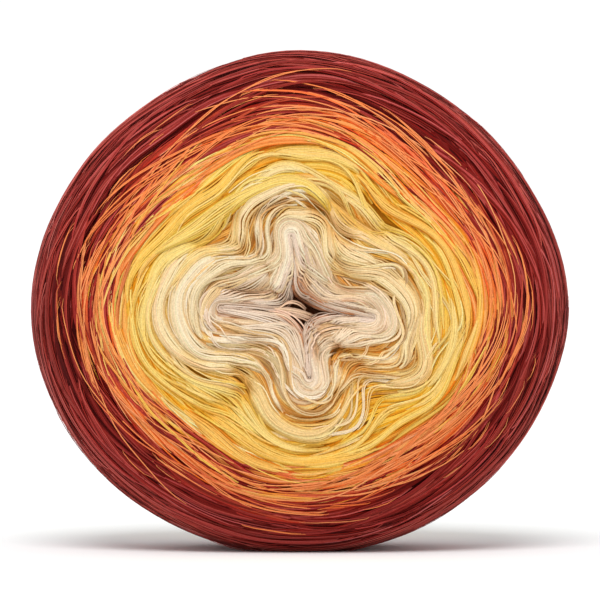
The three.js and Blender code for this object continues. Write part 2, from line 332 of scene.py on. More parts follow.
# Strands over the pit, each with four places that its path is drawn towards, as x, y and z
BUNDLE = [
    {
        "threads": 6, "from": (-11.0, -36.4, 76.6), "past": (-4.4, -36.0, 76.6),
        "over": (0.6, -34.0, 76.0), "to": (5.4, -28.5, 73.0),
    },
    {
        "threads": 7, "from": (-10.4, -36.6, 76.0), "past": (-3.8, -36.4, 75.8),
        "over": (-0.6, -35.4, 72.6), "to": (1.2, -32.5, 66.6),
    },
    {
        "threads": 2, "from": (-6.4, -35.6, 77.0), "past": (-3.6, -35.6, 80.3),
        "over": (-0.4, -34.5, 79.6), "to": (1.8, -30.0, 76.4),
    },
]
# depth is painted shade that deepens the colour of the threads over the pit
BUNDLE_THREADS = {
    "points": 22, "spread": 0.28, "close": 0.7, "opening": 0.9, "bow": 0.5, "width": 0.85,
    "colour": (230, 204, 182), "depth": 0.25, "uneven": 0.14,
}

# Yarn material: inputs of its shader, and fibres stretched along each thread. Bump is in metres.
YARN = {"Roughness": 0.92, "Specular IOR Level": 0.12, "Sheen Weight": 0.04, "Sheen Roughness": 0.5}
FIBRES = {"along": 0.35, "over": 1.6, "scale": 1.0, "fuzz": 1900, "detail": 3}
SHADES = {"From Min": 0.6, "From Max": 1.4, "To Min": 0.78, "To Max": 1.22}
BUMP = {"Strength": 0.35, "Distance": 0.00012}
OWNER_STEP = 1.7  # from one thread's fibres to the next one's

# Body: every how many rows and columns of the grid it keeps, and how much of its colour's brightness
# stays under its painted shade
BODY_GRID = {"rows": 2, "columns": 2, "back_core": 100, "back_core_rows": 3}
BODY_BRIGHTNESS_IN_SHADE = {"outside": 0.5, "core_more": 0.35, "blend": 0.15}
MAP_EDGE = 0.02

# Studio, in metres and degrees
WHITE = (1, 1, 1, 1)
ROOM_LIGHT = 0.72
BACKGROUND_LIGHT = 1.05
KEY_LIGHT = 1.95
KEY_PLACE = (-0.05, -0.72, 1.0)
KEY_SPREAD = 32
FLOOR_REACH = 8.0
FLOOR = {"Base Color": (0.95, 0.97, 0.97, 1), "Roughness": 0.9}
CAMERA_AWAY = 2.0
CAMERA_RISE = 1.2  # above level
FRAME_WIDTH = 0.1910  # what 600 pixels show at the cake
SENSOR_WIDTH = 36  # in millimetres


def smoothstep(x):
    x = np.clip(x, 0, 1)
    return x * x * (3 - 2 * x)


def linear(colour):
    """Scene-linear colour from 0 to 255 sRGB values."""
    c = np.asarray(colour, float) / 255
    return np.where(c <= 0.04045, c / 12.92, ((c + 0.055) / 1.055) ** 2.4)


DEEPENING = np.array([0.75, 1.12, 1.25])  # how much faster green and blue are lost than red in the painted shade
PEACH = linear(PEACH_THREAD)


def fade_colour(level):
    rows = np.array([linear(row["colour"]) for row in FADE])
    stops = [row["level"] for row in FADE]
    return np.stack([np.interp(level, stops, rows[:, k]) for k in range(3)], -1)


def deepened(colour, amount):
    """Painted shade: a colour as it is seen deeper between threads, where light has taken up more of
    it. A negative amount makes it paler, as a painted highlight.
    """
    return colour ** (1 + amount * (0.5 + 0.7 * np.sqrt(colour[..., 1:2])) * DEEPENING)


def unit_vectors(vectors):
    return vectors / np.maximum(np.linalg.norm(vectors, axis=-1, keepdims=True), TINY)


# The folded surface


def outline_radius(angle):
    count = len(OUTLINE)
    radii = np.array([row["radius"] for row in OUTLINE])
    place = np.mod(angle / DEGREE, 360) / 360 * count
    row = np.floor(place).astype(int)
    t = place - row
    a, b, c, d = (radii[(row + k) % count] for k in (-1, 0, 1, 2))
    square, cube = 2 * a - 5 * b + 4 * c - d, 3 * b - 3 * c + d - a
    return 0.5 * (2 * b + (c - a) * t + square * t**2 + cube * t**3)


def arm_distance(x, z):
    softness = CORNER["start"] + CORNER["growth"] * np.hypot(x, z)
    total = 0
    for arm in ARMS:
        ux, uz = math.cos(arm["angle"] * DEGREE), math.sin(arm["angle"] * DEGREE)
        along = np.clip(x * ux + z * uz, 0, arm["length"])
        away = np.hypot(x - along * ux, z - along * uz) + arm["taper"] * along
        total = total + np.exp(-away / softness)
    return -softness * np.log(total)


def plane_grid(levels):
    """x and z from the heart, and the distance from the arms, for each level and column."""
    reach = np.linspace(0, REACH, RAY_POINTS)
    out = np.zeros((len(levels), SECTORS * COLUMNS, 3))
    for k, arm in enumerate(ARMS):
        span = (ARMS[(k + 1) % SECTORS]["angle"] - arm["angle"] + 360) % 360
        angles = (arm["angle"] + span * np.linspace(0, 1, RAYS + 1)) * DEGREE
        x, z = np.cos(angles)[:, None] * reach, np.sin(angles)[:, None] * reach
        px, pz = x + HEART["x"], z + HEART["z"] - AXIS_HEIGHT
        beyond = np.hypot(px, pz) - outline_radius(np.arctan2(pz, px))
        rising = np.maximum.accumulate(arm_distance(x, z), axis=1)
        edge = np.array([np.interp(0, row, reach) for row in beyond])
        depth = np.array([np.interp(e, reach, row) for e, row in zip(edge, rising)])
        radius = np.array([np.interp(levels * d, row, reach) for d, row in zip(depth, rising)])
        for i, level in enumerate(levels):
            cx, cz = radius[:, i] * np.cos(angles), radius[:, i] * np.sin(angles)
            length = np.concatenate([[0], np.cumsum(np.hypot(np.diff(cx), np.diff(cz)))])
            wanted = length[-1] * np.arange(COLUMNS) / COLUMNS
            columns = slice(k * COLUMNS, (k + 1) * COLUMNS)
            for n, values in enumerate((cx, cz, level * depth)):
                out[i, columns, n] = np.interp(wanted, length, values)
    return out


def inward_depth(face, level, x, z, distance):
    """How far a face lies behind the plain section, and the part of that owed to creases."""
    radius, angle = np.hypot(x, z), np.arctan2(z, x) / DEGREE
    slit = face["slit"] + face["slit_inner"] * np.exp(-((radius / SLIT_INNER_REACH) ** 2))
    depth = slit * np.exp(-np.maximum(distance, 0) / face["fade"])
    depth += face["heart"] * np.exp(-((radius / HEART_REACH) ** 2))
    depth += face["dip"] * np.exp(-((radius / DIP_REACH) ** 2))
    creases = 0
    for row in face["creases"]:
        crease = dict(zip(CREASE_COLUMNS, row))
        middle, half = (crease["from"] + crease["to"]) / 2, (crease["to"] - crease["from"]) / 2
        turn = np.mod(angle - middle + 180, 360) - 180
        share = np.clip((turn / half + 1) / 2, 0, 1)
        own = crease["start"] + (crease["end"] - crease["start"]) * share
        across = distance * (1 - own / level) / crease["width"]
        fading = smoothstep((half - np.abs(turn)) / CREASE_END)
        creases = creases + crease["depth"] * np.exp(-(across**2)) * fading
    return depth + creases, creases


def section(level):
    return THICKNESS / 2 * (1 - level**ROUNDING) ** (1 / ROUNDING)


def face_grid(face, levels, plane):
    """Positions on one face, rows by level, and how deep in a crease each lies."""
    x, z, distance = plane[..., 0], plane[..., 1], plane[..., 2]
    level = levels[:, None]
    depth, creases = inward_depth(face, level, x, z, distance)
    y = face["side"] * (section(level) - depth * (1 - level**2))
    startx, startz = x + HEART["x"], z + HEART["z"]
    x, z = startx.copy(), startz.copy()
    for push in face["pushes"]:
        away = np.hypot(startx - push["x"], startz - push["z"]) / push["reach"]
        share = np.exp(-(away**2) / 2)
        x, z = x + push["right"] * share, z + push["up"] * share
    return np.stack([x, y, np.maximum(z, 0)], -1), creases


def wall_rows(face, ring):
    """Rows down the steep side of the pit, from the ring around it."""
    floor = face["side"] * (THICKNESS / 2 - face["pit"])
    heart = np.array([HEART["x"], 0, HEART["z"]])
    rows = []
    for t in np.arange(1, WALL_ROWS + 1) / WALL_ROWS:
        row = heart + (ring - heart) * (1 + (PIT_SIZE - 1) * t)
        row[:, 1] = ring[:, 1] + (floor - ring[:, 1]) * PIT_FALL * t
        rows.append(row)
    return np.array(rows)


class Surface:
    """The whole folded surface. across runs in millimetres over the section: 0 at the front
    slits, self.equator at the rim, twice that at the back slits, below 0 down the front pit.
    turn runs around it, one unit from each arm to the next."""

    def __init__(self):
        inner = np.arange(INNER_LEVEL, SHOULDER_LEVEL, LEVEL_STEP)
        t = np.arange(RIM_ROWS + 1) / RIM_ROWS
        outer = 1 - (1 - SHOULDER_LEVEL) * (1 - t) ** RIM_CROWDING
        levels = np.concatenate([inner, outer])
        plane = plane_grid(levels)
        front, front_creases = face_grid(FRONT, levels, plane)
        back, back_creases = face_grid(BACK, levels, plane)
        steps = np.hypot(MEAN_DEPTH * np.diff(levels), np.diff(section(levels)))
        across = np.concatenate([[0], np.cumsum(steps)]) + MEAN_DEPTH * INNER_LEVEL
        self.levels, self.level_across = levels, across
        self.equator = across[-1]
        front_wall, back_wall = wall_rows(FRONT, front[0]), wall_rows(BACK, back[0])
        fall = np.arange(1, WALL_ROWS + 1) * WALL_STEP
        self.across = np.concatenate([
            across[0] - fall[::-1], across, (2 * self.equator - across[:-1])[::-1],
            2 * self.equator - across[0] + fall,
        ])
        self.points = np.concatenate([front_wall[::-1], front, back[:-1][::-1], back_wall])
        zero = np.zeros(front_wall.shape[:2])
        self.creases = np.concatenate([zero, front_creases, back_creases[:-1][::-1], zero])
        along = np.roll(self.points, -1, 1) - np.roll(self.points, 1, 1)
        over = np.gradient(self.points, axis=0)
        self.normals = unit_vectors(np.cross(over, along))
        ring = np.linalg.norm(np.roll(self.points, -1, 1) - self.points, axis=-1).sum(1)
        self.turn_length = ring / SECTORS

    def at(self, across, turn):
        """Position, normal and crease depth at each place."""
        row = np.interp(across, self.across, np.arange(len(self.across)))
        r0 = np.minimum(row.astype(int), len(self.across) - 2)
        column = np.mod(turn, SECTORS) * COLUMNS
        c0 = column.astype(int) % (SECTORS * COLUMNS)
        c1 = (c0 + 1) % (SECTORS * COLUMNS)
        a, b = (row - r0)[..., None], (column - np.floor(column))[..., None]

        def mix(values):
            low = values[r0, c0] * (1 - b) + values[r0, c1] * b
            return low * (1 - a) + (values[r0 + 1, c0] * (1 - b) + values[r0 + 1, c1] * b) * a

        normal = unit_vectors(mix(self.normals))
        return mix(self.points), normal, mix(self.creases[..., None])[..., 0]

    def across_of(self, level):
        """Place on the front section of a level. Levels over 1 go on over the rim to the back."""
        front = np.interp(np.minimum(level, 1), self.levels, self.level_across)
        back = np.interp(np.clip(2 - level, 0, 1), self.levels, self.level_across)
        return np.where(level <= 1, front, 2 * self.equator - back)

    def length_at(self, across):
        return np.interp(across, self.across, self.turn_length)


# Laying threads


class Threads:
    """Threads of one piece, each a low tent-shaped strip of faces."""

    def __init__(self, name):
        self.name = name
        self.points, self.sides, self.ups = [], [], []
        self.colours, self.alongs, self.sizes = [], [], []

    def add(self, points, normals, width, colour):
        side = unit_vectors(np.cross(normals, unit_vectors(np.gradient(points, axis=0))))
        steps = np.linalg.norm(np.diff(points, axis=0), axis=1)
        width = np.broadcast_to(width, len(points))[:, None]
        self.points.append(points)
        self.sides.append(side * width / 2)
        self.ups.append(normals * THREAD_RISE * width / THREAD)
        self.colours.append(np.broadcast_to(colour, (len(points), 3)))
        self.alongs.append(np.concatenate([[0], np.cumsum(steps)]))
        self.sizes.append(len(points))

    def mesh(self, material):
        points, sides, ups = map(np.concatenate, (self.points, self.sides, self.ups))
        colours, along = np.concatenate(self.colours), np.concatenate(self.alongs)
        trio = np.stack([points + sides, points + ups, points - sides], 1).reshape(-1, 3)
        trio[:, 2] = np.maximum(trio[:, 2], FLOOR_GAP)
        starts = np.concatenate([[0], np.cumsum(self.sizes)])
        last = np.zeros(len(points), bool)
        last[starts[1:] - 1] = True
        i = 3 * np.flatnonzero(~last)
        left = np.stack([i, i + 1, i + 4, i + 3], 1)
        right = np.stack([i + 1, i + 2, i + 5, i + 4], 1)
        faces = np.stack([left, right], 1).reshape(-1, 4)
        mesh = bpy.data.meshes.new(self.name)
        mesh.vertices.add(len(trio))
        mesh.vertices.foreach_set("co", (trio * MM).astype(np.float32).ravel())
        mesh.loops.add(faces.size)
        mesh.loops.foreach_set("vertex_index", faces.astype(np.int32).ravel())
        mesh.polygons.add(len(faces))
        mesh.polygons.foreach_set("loop_start", np.arange(0, faces.size, 4, dtype=np.int32))
        mesh.update(calc_edges=True)
        # Painted shade: each thread's edges are deepened, as where it meets its neighbours.
        shaded_edges = deepened(colours, EDGE_SHADE)
        owner = np.repeat(np.arange(len(self.sizes)), self.sizes) * OWNER_STEP
        add_looks(mesh, np.stack([shaded_edges, colours, shaded_edges], 1).reshape(-1, 3), {
            "along": np.repeat(along, 3), "over": np.tile([-1, 0, 1], len(points)),
            "owner": np.repeat(owner, 3),
        })
        finish_mesh(mesh, self.layout(along, starts)[faces.ravel()], material)
        return placed(self.name, mesh)

    def layout(self, along, starts):
        """Each thread gets a stretch of a row of the map, with a gap around it."""
        lengths = along[starts[1:] - 1]
        gap = THREAD_MAP["gap"]
        width = max(lengths.max() + 2 * gap, math.sqrt((lengths + gap).sum() * THREAD_MAP["slack"]))
        rows, offsets, used, row = [], [], 0.0, 0
        for length in lengths:
            if used + length + 2 * gap > width:
                used, row = 0.0, row + 1
            rows.append(row)
            offsets.append(used + gap)
            used += length + gap
        count = row + 1
        owner = np.repeat(np.arange(len(lengths)), self.sizes)
        u = (np.array(offsets)[owner] + along) / width
        base = np.array(rows)[owner] / count
        v = base[:, None] + np.array(THREAD_MAP["rows"]) / count
        return np.stack([np.repeat(u, 3), v.ravel()], 1)


def placed(name, data):
    """A new object in the scene that shows data."""
    obj = bpy.data.objects.new(name, data)
    bpy.context.scene.collection.objects.link(obj)
    return obj


def add_looks(mesh, colours, numbers):
    """Gives each point its colour, with the painted shade worked into it, and the numbers that its
    fibres are worked out from.
    """
    tones = np.ones((len(colours), 4), np.float32)
    tones[:, :3] = colours
    mesh.attributes.new("fade", "FLOAT_COLOR", "POINT").data.foreach_set("color", tones.ravel())
    for name, values in numbers.items():
        layer = mesh.attributes.new(name, "FLOAT", "POINT")
        layer.data.foreach_set("value", values.astype(np.float32))


def finish_mesh(mesh, uv, material):
    flat = np.asarray(uv, np.float32).ravel()
    mesh.uv_layers.new(name="OFBake").data.foreach_set("uv", flat)
    mesh.polygons.foreach_set("use_smooth", np.ones(len(mesh.polygons), bool))
    mesh.materials.append(material)


def spaced(points, longest):
    """Shares along a fine line at which its straight pieces may meet, closer where it bends."""
    step = np.diff(points, axis=0)
    length = np.maximum(np.linalg.norm(step, axis=1), 1e-6)
    unit = step / length[:, None]
    bend = np.linalg.norm(np.diff(unit, axis=0), axis=1) / (0.5 * (length[1:] + length[:-1]))
    bend = np.concatenate([bend[:1], 0.5 * (bend[1:] + bend[:-1]), bend[-1:], bend[-1:]])
    bend = bend[: len(length)]
    density = np.clip(np.sqrt(bend / (8 * SAG)), 1 / longest, 1 / SHORTEST_PIECE)
    count = np.concatenate([[0], np.cumsum(density * length)])
    pieces = max(int(math.ceil(count[-1])), FEWEST_PIECES)
    return np.interp(np.linspace(0, count[-1], pieces + 1), count, np.linspace(0, 1, len(count)))


def lay(
    out, surface, rng, across, turn, threads, colour, lift, dive, crown=0.0, uneven=0.11,
    ramp=END_RAMP, width=1.0, longest=LONGEST_PIECE, tips=1.0, ragged=RAGGED,
):
    """Lays threads side by side along a fine path. At both ends they draw together and go down
    to dive under the surface; between, they lie lift over it, and crown higher in the middle.
    tips is how wide a thread still is at its ends, ragged how unevenly they end at either side."""
    centre = surface.at(across, turn)[0]
    share = spaced(centre, longest)
    fine = np.linspace(0, 1, len(across))
    length = np.linalg.norm(np.diff(centre, axis=0), axis=1).sum()
    ends = np.minimum(share, 1 - share) * length
    rise = smoothstep(ends / min(MOST_RAMP * length, ramp))
    half = max((threads - 1) / 2, 1)
    drawn = DRAWN["least"] + DRAWN["narrow"] / half
    gather = drawn + (1 - drawn) * smoothstep(ends / min(0.5 * length, 2 * END_RAMP))
    phase, wave = rng.uniform(0, 2 * math.pi), rng.uniform(*WANDER["wave"])
    tilt = rng.normal(0, TILT) * (2 * share - 1)
    for k in range(threads):
        offset = k - (threads - 1) / 2
        phase = phase + rng.normal(WANDER["step"], WANDER["step"])
        ripple_phase = rng.uniform(0, 2 * math.pi)
        wander = WANDER["size"] * np.sin(share * length / wave + phase) + rng.normal(0, WANDER["own"])
        early, late = rng.uniform(0, ragged)
        own = early + (1 - early - late) * share
        path = np.interp(own, fine, across) + offset * PITCH * width * gather + wander
        place, normal, crease = surface.at(path, np.interp(own, fine, turn))
        height = dive + (lift + crown * (1 - (offset / half) ** 2) - dive) * rise
        ripple = RIPPLE["size"] * np.sin(share * length / RIPPLE["wave"] + ripple_phase)
        height = height + tilt + ripple
        # Painted shade on threads that lie in a crease.
        depth = CREASE_SHADE * np.clip(crease / DEEP_CREASE, 0, 1)[:, None]
        # Painted shade on the sides of a lock, which curve away from the light.
        if threads > LOCK_THREADS:
            depth = depth + FLANK_SHADE * (offset / half) ** FLANK_CURVE
        tone = varied(rng, colour, uneven)
        tone = deepened(tone * min(1, BRIGHTEST / tone.max()), depth)
        narrowed = tips + (1 - tips) * smoothstep(ends / TIP_LENGTH)
        points = place + normal * height[:, None]
        out.add(points, normal, THREAD * width * rng.uniform(*WIDTHS) * narrowed, tone)


def varied(rng, colour, uneven):
    """The colour of one thread, at random paler and less strong than its neighbours, or deeper. This
    is partly the yarn's own uneven tone, partly a painted sheen highlight and painted shade.
    """
    value = min(rng.normal(0, uneven), VARIED["most"])
    strength, blue = rng.normal(0, uneven), rng.normal(0, uneven)
    green_share = 1 + VARIED["green"] * strength
    blue_share = 1 + VARIED["blue"] * strength + VARIED["own_blue"] * blue
    tint = np.maximum([1.0, green_share, blue_share], VARIED["least_tint"])
    return deepened(colour * tint * math.exp(VARIED["paler"] * value), -VARIED["weaker"] * value)


def wave_field(rng, size):
    """A smooth field over the surface that moves neighbouring turns alike."""
    rows = [
        {
            "around": rng.integers(*FIELD["around"]) / SECTORS,
            "across": rng.uniform(-1, 1) / FIELD["shortest"],
            "phase": rng.uniform(0, 1),
            "strength": rng.uniform(*FIELD["strength"]),
        }
        for _ in range(FIELD["waves"])
    ]
    total = math.sqrt(sum(row["strength"] ** 2 for row in rows) / 2)

    def field(across, turn):
        value = 0
        for row in rows:
            cycles = row["around"] * turn + row["across"] * across + row["phase"]
            value = value + row["strength"] * np.sin(2 * math.pi * cycles)
        return size * value / total

    return field


def turns_around(out, surface, rng, field, lay_as, back=False):
    """Locks that follow the folds, in lanes over a band of levels. lay_as gives the band, the spacing
    of the lanes, how much of them is covered, and for the locks their length, drift across, number of
    threads, lift, crown, how much painted shade deepens their colour and how much it varies."""
    low, high = (float(surface.across_of(np.array(level))) for level in lay_as["band"])
    lanes = int((high - low) / lay_as["spacing"])
    for lane in range(lanes):
        start = low + (lane + rng.uniform()) * lay_as["spacing"]
        level = np.interp(start, surface.level_across, surface.levels)
        turn = rng.uniform(0, SECTORS)
        end = turn + SECTORS
        while turn < end:
            size = rng.uniform(*lay_as["length"])
            reach = size / surface.length_at(start)
            if rng.uniform() < lay_as["cover"]:
                t = np.linspace(0, 1, max(int(size / LOCK["step"]), LOCK["points"]))
                turns = turn + reach * t
                across = start + size * rng.normal(0, lay_as["drift"]) * (t - 0.5)
                far = smoothstep((across - CALM["from"]) / CALM["over"])
                calm = smoothstep(across / CALM["slit"]) * (1 - CALM["share"] * far)
                across = np.maximum(across + field(across, turns) * calm, min(low, LOCK["inmost"]))
                # Painted shade: families that lie under others are deepened and darkened.
                colour = deepened(family_tone(rng, lay_as, level), lay_as["depth"])
                colour = colour * lay_as.get("painted_shade", 1.0)
                threads = rng.integers(lay_as["threads"][0], lay_as["threads"][1] + 1)
                lift, crown = rng.uniform(*lay_as["lift"]), rng.uniform(*lay_as["crown"])
                if back:
                    across = 2 * surface.equator - across
                lay(
                    out, surface, rng, across, turns, threads, colour, lift, LOCK["dive"], crown,
                    lay_as["uneven"], width=lay_as["width"], tips=lay_as.get("tips", 1.0),
                )
            turn += reach * rng.uniform(*LOCK["next"])


def pit_wall(out, surface, rng):
    """Turns down the side of the front pit, deepened with painted shade."""
    colour = deepened(linear(PIT_TURNS["colour"]), PIT_TURNS["depth"])
    points = PIT_TURNS["points"]
    for _ in range(PIT_TURNS["count"]):
        across = np.full(points, rng.uniform(*PIT_TURNS["across"]))
        turn = rng.uniform(0, SECTORS)
        turns = turn + rng.uniform(*PIT_TURNS["reach"]) * np.linspace(0, 1, points)
        lay(
            out, surface, rng, across, turns, PIT_TURNS["threads"], colour, PIT_TURNS["lift"],
            PIT_TURNS["dive"],
        )


def thread_tone(rng, level):
    """The yarn's colour at a level, a little paler or deeper from ribbon to ribbon."""
    colour = fade_colour(level)
    core = smoothstep((CORE["edge"] - level) / CORE["blend"])
    inner = smoothstep((INNER["edge"] - level) / INNER["blend"])
    mixed = TONE["heart"] + TONE["beyond"] * smoothstep(level / TONE["heart_edge"])
    pick = rng.uniform()
    if pick < TONE["pale_up_to"]:
        paler = (linear(TONE["pale"]) - colour) * rng.uniform(*TONE["pale_share"])
        colour = colour + paler * (TONE["pale_inner"] * inner + TONE["pale_core"] * core) * mixed
    elif pick < TONE["deep_up_to"]:
        deeper = (linear(TONE["deep"]) - colour) * rng.uniform(*TONE["deep_share"])
        colour = colour + deeper * core * smoothstep(level / TONE["deep_from"])
    return colour * math.exp(rng.normal(0, TONE["spread"] * mixed))


def family_tone(rng, lay_as, level):
    """The tone of one lock of a family. Some families have only tones from past a level."""
    level = max(level, lay_as.get("darker_than", 0))
    return thread_tone(rng, level + rng.normal(0, lay_as["vary"]))


def leans_outwards(rng, turn):
    """1 where a ribbon swings outwards as it goes round from right to top, -1 the other way.
    On the right of the cake most do the first, elsewhere either."""
    right = 0.5 + 0.5 * math.cos((turn - RIGHT_LEAN["middle"]) * math.pi / 2)
    return 1 if rng.uniform() < 0.5 + RIGHT_LEAN["share"] * right else -1


def arcs_outwards(out, surface, rng, lay_as, back=False):
    """Ribbons that touch a turn at one place and swing outwards from it, mostly to one side."""
    for _ in range(lay_as["count"]):
        level = rng.uniform(*lay_as["levels"])
        middle = rng.uniform(0, SECTORS)
        way = leans_outwards(rng, middle)
        begin = -ARC["before"] * rng.uniform(*ARC["before_share"])
        angle = np.linspace(begin, rng.uniform(*lay_as["reach"]), ARC["points"])
        path = level + rng.uniform(*lay_as["lean"]) * np.maximum(angle, 0) + ARC["bend"] * angle**2
        across = surface.across_of(path)
        if back:
            across = 2 * surface.equator - across
        turns = middle + way * angle / (math.pi / 2)
        colour = family_tone(rng, lay_as, level)
        if rng.uniform() < lay_as["peach"]:
            colour = PEACH * math.exp(rng.normal(0, ARC["peach_spread"]))
        threads = rng.integers(lay_as["threads"][0], lay_as["threads"][1] + 1)
        lift = rng.uniform(*lay_as["lift"])
        lay(
            out, surface, rng, across, turns, threads, colour, lift, ARC["dive"],
            uneven=lay_as["uneven"], ramp=ARC["ramp"], width=lay_as["width"], tips=ARC["tips"],
            ragged=ARC["ragged"],
        )


def criss_cross(outs, surface, rng, lay_as):
    """Ribbons that run from face to face over the rim and turn back on each face."""
    for n in range(lay_as["count"]):
        rank = (n + rng.uniform()) / lay_as["count"]
        level = lay_as["level"] + lay_as["level_by_rank"] * rank ** lay_as["rank_curve"]
        back = min(level + rng.normal(0, lay_as["back_spread"]), lay_as["furthest"])
        low = surface.across_of(np.array(level + rng.normal(0, lay_as["front_spread"])))
        high = 2 * surface.equator - surface.across_of(np.array(back))
        period = rng.uniform(*lay_as["period"])
        sharp = rng.uniform(*lay_as["sharp"])
        span = period * rng.uniform(*lay_as["span"])
        begin = rng.uniform(0, SECTORS)
        turns = begin + np.linspace(0, span, lay_as["points"])
        phase = 2 * math.pi * ((turns - begin) / period + rng.uniform())
        if rng.uniform() < 0.5:
            phase = -phase
        wave = np.arcsin(sharp * np.sin(phase)) / math.asin(sharp)
        across = (low + high) / 2 + (high - low) / 2 * wave
        tone_level = lay_as["tone"] + lay_as["tone_by_rank"] * rank
        colour = thread_tone(rng, tone_level + rng.normal(0, lay_as["tone_spread"]))
        # Painted shade: the lower ribbons, laid first under later ones, are deepened more.
        colour = deepened(colour, lay_as["depth"] * (1 - rank))
        lift = lay_as["lift"] + lay_as["lift_by_rank"] * rank + rng.normal(0, lay_as["lift_spread"])
        threads = rng.integers(*lay_as["threads"])
        lay(
            outs[n % len(outs)], surface, rng, across, turns, threads, colour, lift,
            lay_as["dive"], lay_as["crown"], lay_as["uneven"], width=lay_as["width"],
        )


def bundle_over_pit(out, rng):
    """The threads that leave the left slit and fan out across the pit, in three strands."""
    look = BUNDLE_THREADS
    # Painted shade deepens the colour of the threads over the pit.
    middle_tone = deepened(linear(look["colour"]), look["depth"])
    for strand in BUNDLE:
        path = np.array([strand[name] for name in ("from", "past", "over", "to")], float)
        for k in range(strand["threads"]):
            side = (k - (strand["threads"] - 1) / 2) * PITCH
            t = np.linspace(0, 1, look["points"])[:, None]
            a, b, c, d = path + rng.normal(0, look["spread"], (4, 3))
            points = a * (1 - t) ** 3 + 3 * b * t * (1 - t) ** 2 + 3 * c * t**2 * (1 - t) + d * t**3
            along = unit_vectors(np.gradient(points, axis=0))
            beside = np.stack([along[:, 2], 0 * along[:, 1], -along[:, 0]], 1)
            points = points + side * (look["close"] + look["opening"] * t) * beside
            points[:, 1] += look["bow"] * (2 * side / max(strand["threads"] * PITCH, 1)) ** 2
            normals = np.broadcast_to([0.0, -1.0, 0.0], points.shape)
            out.add(points, normals, look["width"] * THREAD, varied(rng, middle_tone, look["uneven"]))


# Material and body


def set_inputs(node, values):
    for name, value in values.items():
        node.inputs[name].default_value = value


def yarn_material(name):
    """Matte yarn: its own fade with the painted shade worked into it, with fine fibres that run along
    each thread.
    """
    material = bpy.data.materials.new(name)
    material.use_nodes = True
    nodes, links = material.node_tree.nodes, material.node_tree.links
    shader = nodes["Principled BSDF"]
    set_inputs(shader, YARN)

    def attribute(name):
        node = nodes.new("ShaderNodeAttribute")
        node.attribute_name = name
        return node

    def math_node(operation, *values):
        node = nodes.new("ShaderNodeMath")
        node.operation = operation
        for socket, value in zip(node.inputs, values):
            if isinstance(value, (int, float)):
                socket.default_value = value
            else:
                links.new(value, socket)
        return node.outputs[0]

    def noise(vector, scale):
        node = nodes.new("ShaderNodeTexNoise")
        set_inputs(node, {"Scale": scale, "Detail": FIBRES["detail"]})
        links.new(vector, node.inputs["Vector"])
        return node.outputs["Fac"]

    along, over, owner = (attribute(name).outputs["Fac"] for name in ("along", "over", "owner"))
    lengthwise = nodes.new("ShaderNodeCombineXYZ")
    links.new(math_node("MULTIPLY", along, FIBRES["along"]), lengthwise.inputs["X"])
    links.new(math_node("MULTIPLY", over, FIBRES["over"]), lengthwise.inputs["Y"])
    links.new(owner, lengthwise.inputs["Z"])
    place = nodes.new("ShaderNodeTexCoord").outputs["Object"]
    fibres = noise(lengthwise.outputs["Vector"], FIBRES["scale"])
    fuzz = noise(place, FIBRES["fuzz"])
    ramp = nodes.new("ShaderNodeMapRange")
    set_inputs(ramp, SHADES)
    links.new(math_node("ADD", fibres, fuzz), ramp.inputs["Value"])
    tint = nodes.new("ShaderNodeVectorMath")
    tint.operation = "SCALE"
    links.new(attribute("fade").outputs["Color"], tint.inputs[0])
    links.new(ramp.outputs["Result"], tint.inputs["Scale"])
    links.new(tint.outputs["Vector"], shader.inputs["Base Color"])
    bump = nodes.new("ShaderNodeBump")
    set_inputs(bump, BUMP)
    links.new(math_node("ADD", fibres, fuzz), bump.inputs["Height"])
    links.new(bump.outputs["Normal"], shader.inputs["Normal"])
    return material


